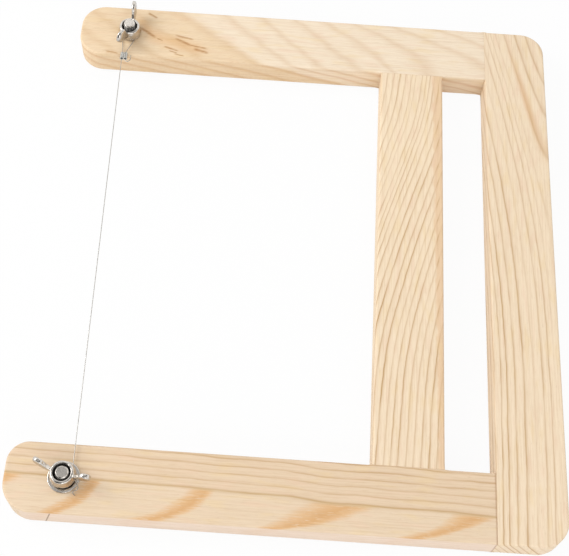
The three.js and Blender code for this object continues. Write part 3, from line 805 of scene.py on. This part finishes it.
def strip_body(name, low, high, radii, settings, seam_fade=2.2):
    """A strip as rings stacked over its outline, each a shift of the outline inwards and upwards.

    From the middle line of the back face the rings run out to the edge, round it in a quarter circle, up the
    side, round the front edge and back to the middle line of the front face. The quarter circles' radius
    shrinks smoothly within the seam fade of a glued seam. The middle line is where both long sides' points
    meet and are merged."""
    upright = high[1] - low[1] > high[0] - low[0]
    order = [1, 0] if upright else [0, 1]
    outline, normals = outline_of(low[order], high[order], radii)
    half = (high[order][1] - low[order][1]) / 2
    middle = np.clip(outline, low[order] + half, high[order] - half)
    outline, normals, middle = (array[:, order] for array in (outline, normals, middle))
    wide, tight = settings.edge_radius * METRE, settings.seam_radius * METRE
    radius = tight + (wide - tight) * ease(np.clip(seam_distance(outline) / seam_fade, 0, 1))
    quarter = np.linspace(0, np.pi / 2, 7)
    inset, lift = 1 - np.sin(quarter), 1 - np.cos(quarter)
    rim = outline - inset[:, None, None] * radius[:, None] * normals
    flat = rim[0] + np.array([1.0, 0.6, 0.25, 0.06])[:, None, None] * (middle - rim[0])
    back = np.concatenate([flat, rim])
    rise = np.concatenate([np.zeros(flat.shape[:2]), lift[:, None] * radius])
    points = np.concatenate([back, back[::-1]])
    z = np.concatenate([low[2] + rise, high[2] - rise[::-1]])
    return build(name, (np.concatenate([points, z[..., None]], -1), "merged"))


def bore(node, play=0.15):
    """A cylinder round a dowel, a little longer and wider than it, that cuts its hole."""
    low, high = span(node)
    axis = int(np.argmax(high - low))
    across = [i for i in range(3) if i != axis]
    angle, middle = full_turn(32), middle_of(node)
    radius = (high[across[0]] - low[across[0]]) / 2 + play
    ring = np.zeros((2, len(angle), 3))
    ring[..., axis] = np.array([low[axis] - 0.5, high[axis] + 0.5])[:, None]
    ring[..., across[0]] = middle[across[0]] + radius * np.cos(angle)
    ring[..., across[1]] = middle[across[1]] + radius * np.sin(angle)
    return build("bore", (ring, "capped"))


def screw_hole(place, play=0.1):
    """The clearance hole of a screw with the countersink for its head at the back."""
    low, high = span(f"{place}_screw")
    head = (high[0] - low[0]) / 2
    centre = (*middle_of(f"{place}_screw")[:2], 0.0)
    shank = head / 2
    wide, narrow = head + play, shank + play
    profile = [(wide, -1), (wide, 0.6), (narrow, head - shank + 0.6), (narrow, FRONT + 1)]
    return build("screw_hole", (turned(profile, centre, 64), "capped"))


class SOAPCUTTER_OT_strips(bpy.types.Operator):
    """Builds the four pine strips with rounded edges, dowel bores and screw holes"""

    bl_idname = "soapcutter.strips"
    bl_label = "Pine strips"

    # A square corner's radius over the seam rounding, so that the rounding never turns the corner inside out.
    SQUARE_CORNER = 1.3

    def execute(self, context):
        settings = context.scene.cutter_pine
        square = settings.seam_radius * self.SQUARE_CORNER
        strips = (
            (
                "top_arm", top_arm_pine, "pine_top_arm", ("top_arm", "top_bar"),
                (settings.top_nose, square, square, settings.top_nose),
            ),
            (
                "bottom_arm", bottom_arm_pine, "pine_bottom_arm", ("bottom_arm", "bottom_bar"),
                (settings.bottom_nose_outer, square, square, settings.bottom_nose),
            ),
            (
                "back_rail", rail_pine, "pine_rail", ("top_arm", "bottom_arm"),
                (square, square, settings.rail_top_corner, settings.rail_bottom_corner),
            ),
            ("middle_bar", bar_pine, "pine_bar", ("top_bar", "bottom_bar"), (square,) * 4),
        )
        for node, finish, slot, joints, corners in strips:
            strip = strip_body(f"{node}_strip", *span(node), [corner * METRE for corner in corners], settings)
            cutters = [bore(f"{joint}_dowel_{i}") for joint in joints for i in (1, 2)]
            if node in ARMS:
                cutters.append(screw_hole(node.split("_")[0]))
            cut_away(strip, cutters)
            finish_piece(strip, finish(), "frame", (node,), 30)
        return {"FINISHED"}


class SOAPCUTTER_OT_dowels(bpy.types.Operator):
    """Gives the hidden dowels their beech finish"""

    bl_idname = "soapcutter.dowels"
    bl_label = "Dowel finish"

    def execute(self, context):
        finish = beech()
        for node in DOWELS:
            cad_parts[node].data.materials.clear()
            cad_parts[node].data.materials.append(finish)
        return {"FINISHED"}


def screw_rings(place, pitch, head_rim=0.4, socket_flats=4.0, socket_depth=2.2, tip_chamfer=0.6, steps=72):
    """A countersunk screw as rings from the socket's floor to the tip.

    The socket's rings are hexagons, whose radius is half the width across flats over the cosine of the angle
    from the nearest flat. The thread's radius falls below the outer radius by a wave of height over pitch
    less turn over a full turn, and the chamfer draws it in at the tip."""
    low, high = span(f"{place}_screw")
    centre = middle_of(f"{place}_screw")
    head = (high[0] - low[0]) / 2
    shank = head / 2
    angle = full_turn(steps)
    from_flat = (angle + np.pi / 6) % (np.pi / 3) - np.pi / 6
    hexagon = socket_flats / 2 / np.cos(from_flat)
    circle = np.ones(steps)
    foot = low[2]
    rows = [
        (0.05 * hexagon, foot + socket_depth),
        (0.96 * hexagon, foot + socket_depth),
        (hexagon, foot + socket_depth - 0.1),
        (hexagon, foot + 0.15),
        (1.05 * hexagon, foot),
        ((head - 0.25) * circle, foot),
        ((head - 0.06) * circle, foot + 0.06),
        (head * circle, foot + 0.2),
        (head * circle, foot + head_rim - 0.08),
        ((head - 0.1) * circle, foot + head_rim + 0.05),
        ((shank + 0.2) * circle, foot + head_rim + head - shank - 0.15),
        ((shank - 0.05) * circle, foot + head_rim + head - shank + 0.2),
    ]
    start = foot + head_rim + head - shank + 1.0
    heights = np.arange(start, high[2] - 1e-6, pitch / 12)
    wave = (heights[:, None] / pitch - angle[None] / (2 * np.pi)) % 1.0
    groove = np.clip(np.abs(wave - 0.5) * 2.6 - 0.45, 0, 1)
    radius = shank - 0.03 - 0.52 * (1 - groove) * np.clip((heights - start) / pitch, 0, 1)[:, None]
    limit = shank - tip_chamfer + np.clip(high[2] - heights, 0, tip_chamfer)
    rows += list(zip(np.minimum(radius, limit[:, None]), heights))
    rows.append(((shank - tip_chamfer) * circle, high[2] - 0.02))
    rows.append(((shank - tip_chamfer - 0.1) * circle, high[2]))
    radii = np.array([row[0] for row in rows])
    z = np.array([row[1] for row in rows])[:, None] * circle
    return np.stack([centre[0] + radii * np.cos(angle), centre[1] + radii * np.sin(angle), z], -1)


class SOAPCUTTER_OT_screws(bpy.types.Operator):
    """Builds the two threaded screws with countersunk socket heads"""

    bl_idname = "soapcutter.screws"
    bl_label = "Screws"

    CLEAN_RADIUS, GRIME_FADE, HEAD_LENGTH, TIP_LENGTH = 2.95, 0.3, 6.0, 0.7

    def execute(self, context):
        settings = context.scene.cutter_metal
        finish = plated_steel("screw_steel", tuple(settings.steel), 0.2, 0.3, 0.0001)
        for place in BODY_OF:
            rings = screw_rings(place, settings.thread_pitch * METRE)
            screw = build(f"{place}_machine_screw", (rings, "capped"))
            low, high = span(f"{place}_screw")
            points = points_of(screw)
            from_axis = np.linalg.norm((points - middle_of(f"{place}_screw"))[:, :2], axis=1)
            height = points[:, 2]
            in_thread = (height > low[2] + self.HEAD_LENGTH) & (height < high[2] - self.TIP_LENGTH)
            # The thread's grooves are painted dark between the head and the tip.
            paint_shade_and_grime(screw, np.clip((self.CLEAN_RADIUS - from_axis) / self.GRIME_FADE, 0, 1) * in_thread)
            finish_piece(screw, finish, "frame", (f"{place}_screw",), 28)
        return {"FINISHED"}


class SOAPCUTTER_OT_washers(bpy.types.Operator):
    """Builds the stamped washers with their rolled rims"""

    bl_idname = "soapcutter.washers"
    bl_label = "Washers"

    BORE, RIM_SHARE = 3.15, 0.32

    def execute(self, context):
        settings = context.scene.cutter_metal
        finish = plated_steel("washer_steel", tuple(settings.steel), 0.16, 0.25)
        bodies = {"bottom_wood_washer": "frame"}
        bodies.update({f"{place}_clamp_washer": BODY_OF[place][0] for place in BODY_OF})
        for node, body in bodies.items():
            low, high = span(node)
            centre = (*middle_of(node)[:2], low[2])
            height = high[2] - low[2]
            section = rounded_section(self.BORE, (high[0] - low[0]) / 2, 0, height, height * self.RIM_SHARE)
            washer = build(f"{node}_ring", (turned(section, centre), "joined"))
            finish_piece(washer, finish, body, (node,), 50)
        return {"FINISHED"}


def hub_profile(base, top, height, bore_radius, sink_radius, rounding=0.9, bevel=0.25, foot_bevel=0.35):
    """Radius and height round a wing nut's hub, from the bevel at its bore's foot: the base, the tapered
    side, the upper rim, which is a quarter circle, and the deep countersink with its step to the bore."""
    turn = np.linspace(0, np.pi / 2, 8)
    rim = [(top - rounding * (1 - math.cos(a)), height - rounding * (1 - math.sin(a))) for a in turn]
    step_top, step_foot = height - 2.2, height - 2.9
    return [
        (bore_radius, bevel), (bore_radius + bevel, 0.0), (base - foot_bevel, 0.0), (base, foot_bevel),
        (base - 0.05, 1.0), *rim, (sink_radius + 0.12, height - 0.05), (sink_radius, height - bevel),
        (sink_radius - 0.1, step_top), (bore_radius, step_foot),
    ]


def wing_rings(
    settings, place, hub_top, hub_height, side,
    foot=(3.9, 0.7), shoulder_drop=0.5, ear_turn=145.0, swell_run=4.0, squareness=0.62, bend_power=1.5,
):
    """One wing as oval sections carried from inside the hub out to the ear's tip.

    The ear is a circle. Below, the wing's edge is the straight line from the hub's foot that touches the
    circle. Above, it is a cubic from the hub's shoulder that joins the circle at the ear turn, and past these
    points both edges are the circle. Half the wing's thickness grows from the neck to the ear and closes as a
    circle does at the tip. Each section is a superellipse between the edges, flat at its sides and round
    above and below. The bend moves the sections aside by a power of the share of their way to the tip."""
    reach = settings.wing_reach * METRE
    sizes = ("bend", "ear_radius", "wing_height")
    bend, ear, tip = (getattr(settings, f"{place}_{size}") * METRE for size in sizes)
    centre = np.array([reach - ear, tip - ear])
    offset = centre - foot
    slope = np.arctan2(offset[1], offset[0]) - np.arcsin(ear / np.hypot(*offset))
    touch = foot[0] + np.sqrt(offset @ offset - ear**2) * np.cos(slope)
    join = np.radians(ear_turn)
    join_x, join_z = centre + ear * np.array([np.cos(join), np.sin(join)])
    share = np.linspace(0, 1, 56)
    out = foot[0] + (reach - foot[0]) * np.sin(share * np.pi / 2)
    circle = np.sqrt(np.clip(ear**2 - (out - centre[0]) ** 2, 0, None))
    lower = np.where(out < touch, foot[1] + (out - foot[0]) * np.tan(slope), centre[1] - circle)
    s = np.clip((out - foot[0]) / (join_x - foot[0]), 0, 1)
    run, start_rise, end_rise = join_x - foot[0], 0.1, -1 / np.tan(join)
    cubic = (
        (1 - ease(s)) * (hub_height - shoulder_drop) + (s**3 - 2 * s**2 + s) * run * start_rise
        + ease(s) * join_z + (s**3 - s**2) * run * end_rise
    )
    upper = np.where(out < join_x, cubic, centre[1] + circle)
    close = np.sqrt(np.clip(1 - np.clip((out - centre[0] - ear * 0.45) / (ear * 0.55), 0, 1) ** 2, 0, 1))
    swell = np.clip((out - hub_top) / swell_run, 0, 1)
    neck, thick = settings.wing_neck * METRE / 2, settings.wing_thickness * METRE / 2
    half_width = neck + (thick - neck) * ease(swell)
    half_width = half_width * (0.35 + 0.65 * close) + 0.01
    turn = full_turn(32)
    circle_points = np.array([np.cos(turn), np.sin(turn)])
    shape = np.sign(circle_points) * np.abs(circle_points) ** squareness
    middle, half_height = (upper + lower) / 2, np.maximum((upper - lower) / 2, 0.02)
    lean = bend * np.clip((out - hub_top) / (reach - hub_top), 0, 1) ** bend_power
    x = side * np.repeat(out[:, None], len(turn), 1)
    y = half_width[:, None] * shape[0] + lean[:, None]
    z = middle[:, None] + half_height[:, None] * shape[1]
    return np.stack([x, y, z], -1)


class SOAPCUTTER_OT_wing_nuts(bpy.types.Operator):
    """Builds the two wing nuts, each fused from a turned hub and two wings"""

    bl_idname = "soapcutter.wing_nuts"
    bl_label = "Wing nuts"

    # Degrees from the arm's direction to a wing.
    NUT_TURN = {"top": 77.0, "bottom": -15.0}
    BORE, SINK, HUB_TOP, HUB_BASE, HUB_HEIGHT = 3.12, 3.85, 5.2, 5.8, 4.7

    def execute(self, context):
        settings = context.scene.cutter_metal
        finish = plated_steel("nut_steel", tuple(settings.steel), 0.13, 0.35, 0.0004)
        for place in BODY_OF:
            centre = (*middle_of(f"{place}_screw")[:2], span(f"{place}_wing_nut")[0][2])
            nut = self.body(settings, place)
            points = points_of(nut)
            from_axis = np.linalg.norm(points[:, :2], axis=1)
            # Painted shade: the countersink is painted near black below its rim.
            inside = np.clip((self.SINK + 0.08 - from_axis) / 0.2, 0, 1)
            paint_shade_and_grime(nut, inside * np.clip((self.HUB_HEIGHT - 0.2 - points[:, 2]) / 0.3, 0, 1))
            angle = math.radians(self.NUT_TURN[place])
            cos, sin = math.cos(angle), math.sin(angle)
            turn = np.array([[cos, sin, 0], [-sin, cos, 0], [0, 0, 1]])
            nut.data.vertices.foreach_set("co", (points @ turn + centre).astype(np.float32).ravel())
            finish_piece(nut, finish, BODY_OF[place][1], (f"{place}_wing_nut",), 60)
        return {"FINISHED"}

    def body(self, settings, place):
        """The hub and wings about the axis, fused at the settings' grid step and smoothed."""
        profile = hub_profile(self.HUB_BASE, self.HUB_TOP, self.HUB_HEIGHT, self.BORE, self.SINK)
        hub = turned(profile, (0, 0, 0), 120)
        wings = [wing_rings(settings, place, self.HUB_TOP, self.HUB_HEIGHT, side) for side in (-1, 1)]
        nut = build(f"{place}_butterfly_nut", (hub, "joined"), *((wing, "capped") for wing in wings))
        fuse(nut, settings.fusing_step * METRE, 5)
        return nut


def smooth_line(points, count):
    """A centripetal Catmull-Rom curve through the points, at even steps of its length: three rounds of
    straight blends between the four nearest points, each by the share of the way between two knots."""
    points = np.asarray(points, float)
    ghost = np.concatenate([[2 * points[0] - points[1]], points, [2 * points[-1] - points[-2]]])
    knots = np.concatenate([[0], np.cumsum(np.sqrt(np.linalg.norm(np.diff(ghost, axis=0), axis=1)))])
    t = np.linspace(knots[1], knots[-2], count * 12)[:, None]
    i = np.clip(np.searchsorted(knots, t[:, 0], "right") - 1, 1, len(ghost) - 3)
    p = [ghost[i + k] for k in (-1, 0, 1, 2)]
    at = [knots[i + k][:, None] for k in (-1, 0, 1, 2)]

    def blend(first, last, j, k):
        return ((at[k] - t) * first + (t - at[j]) * last) / (at[k] - at[j])

    a = [blend(p[k], p[k + 1], k, k + 1) for k in (0, 1, 2)]
    b = [blend(a[k], a[k + 1], k, k + 2) for k in (0, 1)]
    return evenly(blend(*b, 1, 2), count)


def evenly(line, count):
    """The same line as points at even steps of its length."""
    length = np.concatenate([[0], np.cumsum(np.linalg.norm(np.diff(line, axis=0), axis=1))])
    where = np.linspace(0, length[-1], count + 1)
    return np.stack([np.interp(where, length, line[:, k]) for k in range(3)], 1)


def tube_rings(line, radius, sides):
    """A round tube along a line that is nowhere vertical: each ring stands square to the line, with its sides
    counted from the horizontal."""
    tangent = np.gradient(line, axis=0)
    tangent /= np.linalg.norm(tangent, axis=1)[:, None]
    level = np.cross(tangent, (0, 0, 1.0))
    level /= np.linalg.norm(level, axis=1)[:, None]
    rise = np.cross(level, tangent)
    angle = full_turn(sides)
    aside, above = (radius * wave(angle)[None, :, None] for wave in (np.cos, np.sin))
    return line[:, None] + level[:, None] * aside + rise[:, None] * above


# From the ferrule's middle to the axis of each of its two bores.
BARREL_SHIFT = 0.9


def wire_route():
    """The wire's centre line: the curled top end, the strand up to the top screw, the half loop, the strand
    down through the ferrule, the long cutting stretch, the turn round the bottom screw and the bent tail.

    Its levels are those of the surfaces that it lies on, plus the lift. Round the bottom screw it climbs from
    the washer on the wood to the clamp washer in three quarters of a turn."""
    ferrule_low, ferrule_high = span("wire_ferrule")
    middle = middle_of("wire_ferrule") - CORNER
    left, right = middle[0] - BARREL_SHIFT, middle[0] + BARREL_SHIFT
    under, over, level = ferrule_low[1] - CORNER[1], ferrule_high[1] - CORNER[1], middle[2]
    top, bottom = (middle_of(f"{place}_screw") - CORNER for place in BODY_OF)
    loop, lift, climb_height = 3.375, 0.305, 0.86
    washer_z = span("bottom_wood_washer")[1][2]
    top_z, low_z = FRONT + lift, washer_z + lift
    high_z = low_z + climb_height
    curl = smooth_line([
        (right + 2.6, middle[1] + 0.6, level), (right + 2.5, under - 0.2, level + 0.1),
        (right + 1.2, under - 1.3, level + 0.1), (right, under - 0.5, level),
    ], 30)
    strand = smooth_line([
        (right, over + 0.5, level), (right + 0.8, over + 2.8, level - 0.1),
        (right + 2.2, over + 6.4, top_z + 0.2), (top[0] + loop, top[1] - 1, top_z),
    ], 60)
    turn = np.linspace(0, np.pi, 37)
    level_turn = np.full_like(turn, top_z)
    half = np.stack([top[0] + loop * np.cos(turn), top[1] + loop * np.sin(turn), level_turn], 1)
    down = smooth_line([
        (top[0] - loop, top[1] - 1, top_z), (top[0] - loop + 0.1, top[1] - 5.5, top_z + 0.1),
        (left - 0.25, over + 3, level - 0.1), (left, over + 0.5, level),
    ], 40)
    cutting = evenly(np.array([(left, under - 0.5, level), (bottom[0] + loop, bottom[1] + loop, low_z)]), 200)
    degrees = np.linspace(0, 325, 90)
    around = np.radians(-degrees)
    climb = low_z + climb_height * np.minimum(degrees / 270, 1)
    wrap = np.stack([bottom[0] + loop * np.cos(around), bottom[1] + loop * np.sin(around), climb], 1)
    offsets = [
        (4.5, -0.6, high_z), (6.4, -3.3, high_z), (6.9, -4.6, high_z - 0.3), (6.2, -5.6, high_z - 0.8),
        (5, -6, washer_z + 0.3), (4.9, -6.8, FRONT + 0.7), (5.9, -7.6, FRONT + 0.4),
    ]
    tail = smooth_line([(bottom[0] + x, bottom[1] + y, z) for x, y, z in offsets], 70)
    route = np.concatenate([curl, strand, half, down, cutting, wrap, tail])
    return route + (CORNER[0], CORNER[1], 0)


class SOAPCUTTER_OT_wire(bpy.types.Operator):
    """Lays the cutting wire along its route between the screws"""

    bl_idname = "soapcutter.wire"
    bl_label = "Cutting wire"

    def execute(self, context):
        settings = context.scene.cutter_wire
        finish = plated_steel("wire_steel", tuple(settings.colour), 0.3, 0.2)
        rings = tube_rings(wire_route(), settings.diameter * METRE / 2, settings.sides)
        wire = build("steel_wire", (rings, "capped"))
        finish_piece(wire, finish, "frame", ("cutting_wire",), 60)
        return {"FINISHED"}


class SOAPCUTTER_OT_ferrule(bpy.types.Operator):
    """Builds the double sleeve that holds the wire's loop"""

    bl_idname = "soapcutter.ferrule"
    bl_label = "Ferrule"

    BORE, RIM, END_CUT, FUSING_STEP = 0.525, 0.16, 0.4, 0.06

    def execute(self, context):
        low, high = span("wire_ferrule")
        middle, radius = middle_of("wire_ferrule"), (high[2] - low[2]) / 2
        length = high[1] - low[1]
        section = rounded_section(self.BORE, radius, self.END_CUT, length - self.END_CUT, self.RIM)
        barrel = turned(section, (0, 0, 0), 48)[..., [0, 2, 1]]
        places = [(middle[0] + side, low[1], middle[2]) for side in (-BARREL_SHIFT, BARREL_SHIFT)]
        ferrule = build("double_sleeve", *((barrel + place, "joined") for place in places))
        fuse(ferrule, self.FUSING_STEP, 3)
        # Painted shade: the two bores are painted dark.
        offset = points_of(ferrule) - middle
        from_bore = np.hypot(np.abs(offset[:, 0]) - BARREL_SHIFT, offset[:, 2])
        paint_shade_and_grime(ferrule, np.clip((self.BORE + 0.1 - from_bore) / 0.12, 0, 1))
        finish = plated_steel("ferrule_aluminium", tuple(context.scene.cutter_metal.ferrule), 0.3, 0.4)
        finish_piece(ferrule, finish, "frame", ("wire_ferrule",), 60)
        return {"FINISHED"}


class SOAPCUTTER_OT_stage(bpy.types.Operator):
    """Sets the white floor, the soft light and the camera"""

    bl_idname = "soapcutter.stage"
    bl_label = "Stage, light and camera"

    def execute(self, context):
        scene, settings = context.scene, context.scene.cutter_stage
        scene.view_settings.view_transform = "Standard"
        self.floor()
        self.room(scene, settings.sky)
        self.lamp("key", settings.key, (-1.0, 0.15, 0.8), 0.7)
        self.lamp("fill", settings.fill, (0.25, -1.1, 0.55), 0.9)
        data = bpy.data.cameras.new("photo_view")
        data.sensor_width = 36.0
        data.lens = settings.lens
        data.shift_x, data.shift_y = settings.camera_shift
        data.clip_start, data.clip_end = 0.01, 20.0
        scene.camera = add_to_scene("photo_view", data)
        scene.camera.location = settings.camera_place
        scene.camera.rotation_euler = settings.camera_turn
        return {"FINISHED"}

    def floor(self):
        """A wide white floor just under the cutter, nearly white to the camera, that keeps a faint shadow."""
        half, under, whiteness = 4.0, -0.0004, 0.93
        finish = Finish("white_floor")
        rays = (finish.light_path(f"Is {ray} Ray") for ray in ("Camera", "Glossy", "Transmission"))
        matt = finish.node("ShaderNodeBsdfDiffuse", {}, {"Color": (0.82, 0.82, 0.82, 1.0)})
        white = finish.node("ShaderNodeEmission", {}, {"Color": (1, 1, 1, 1), "Strength": 1.0})
        finish.end(finish.node("ShaderNodeMixShader", {}, {0: sum(rays) * whiteness, 1: matt, 2: white}))
        corners = [(-half, -half, under), (half, -half, under), (half, half, under), (-half, half, under)]
        mesh = bpy.data.meshes.new("floor")
        mesh.from_pydata(corners, [], [(0, 1, 2, 3)])
        mesh.materials.append(finish.material)
        add_to_scene("floor", mesh)

    def room(self, scene, strength):
        """A white room: even light from all round, plain white to the camera. Glossy surfaces mirror white
        panels low all round and at the left, the right and the back, with a dark ceiling between them that is
        lit again straight above."""
        scene.world = bpy.data.worlds.new("white_room")
        room = Graph(scene.world)
        x, y, z = room.split(room.node("ShaderNodeTexCoord", output="Generated"))
        panels = x.rise(-0.5, -0.66).most(x.rise(0.62, 0.74)).most(y.rise(0.4, 0.54)).most(z.rise(0.26, 0.14))
        mirrored = panels * 1.2 + z.rise(0.8, 0.96, 0.02, 0.6)
        glossy = room.light_path("Is Glossy Ray")
        seen = room.light_path("Is Camera Ray").most(room.light_path("Is Transmission Ray"))
        level = glossy * mirrored + (1.0 - glossy) * strength
        level = seen + (1.0 - seen) * level
        light = room.node("ShaderNodeBackground", {}, {"Color": (1, 1, 1, 1), "Strength": level})
        room.node("ShaderNodeOutputWorld", {}, {"Surface": light})

    def lamp(self, name, power, place, size):
        """A square soft lamp that looks at the cutter's middle."""
        data = bpy.data.lights.new(name, "AREA")
        data.shape = "SQUARE"
        data.size = size
        data.energy = power
        lamp = add_to_scene(name, data)
        lamp.location = place
        lamp.rotation_euler = (-lamp.location).to_track_quat("-Z", "Y").to_euler()


class SOAPCUTTER_PT_panel(bpy.types.Panel):
    """Lists the steps that dress the soap cutter"""

    bl_idname = "SOAPCUTTER_PT_panel"
    bl_label = "Soap Cutter"
    bl_space_type = "VIEW_3D"
    bl_region_type = "UI"
    bl_category = "Soap Cutter"

    def draw(self, context):
        for step in STEPS:
            self.layout.operator(step.bl_idname)
        for group in GROUPS:
            for name in GROUPS[group].__annotations__:
                self.layout.prop(getattr(context.scene, group), name)


STEPS = (
    SOAPCUTTER_OT_stage,
    SOAPCUTTER_OT_strips,
    SOAPCUTTER_OT_dowels,
    SOAPCUTTER_OT_screws,
    SOAPCUTTER_OT_washers,
    SOAPCUTTER_OT_wing_nuts,
    SOAPCUTTER_OT_wire,
    SOAPCUTTER_OT_ferrule,
)
GROUPS = {
    "cutter_pine": PineSettings,
    "cutter_metal": MetalSettings,
    "cutter_wire": WireSettings,
    "cutter_stage": StageSettings,
}


def register():
    for kind in (*GROUPS.values(), *STEPS, SOAPCUTTER_PT_panel):
        bpy.utils.register_class(kind)
    for name, kind in GROUPS.items():
        setattr(bpy.types.Scene, name, PointerProperty(type=kind))


def unregister():
    for name in GROUPS:
        delattr(bpy.types.Scene, name)
    for kind in (SOAPCUTTER_PT_panel, *reversed(STEPS), *GROUPS.values()):
        bpy.utils.unregister_class(kind)


def main():
    """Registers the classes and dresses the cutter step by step."""
    register()
    for step in STEPS:
        family, action = step.bl_idname.split(".")
        getattr(getattr(bpy.ops, family), action)()


if __name__ == "__main__":
    main()
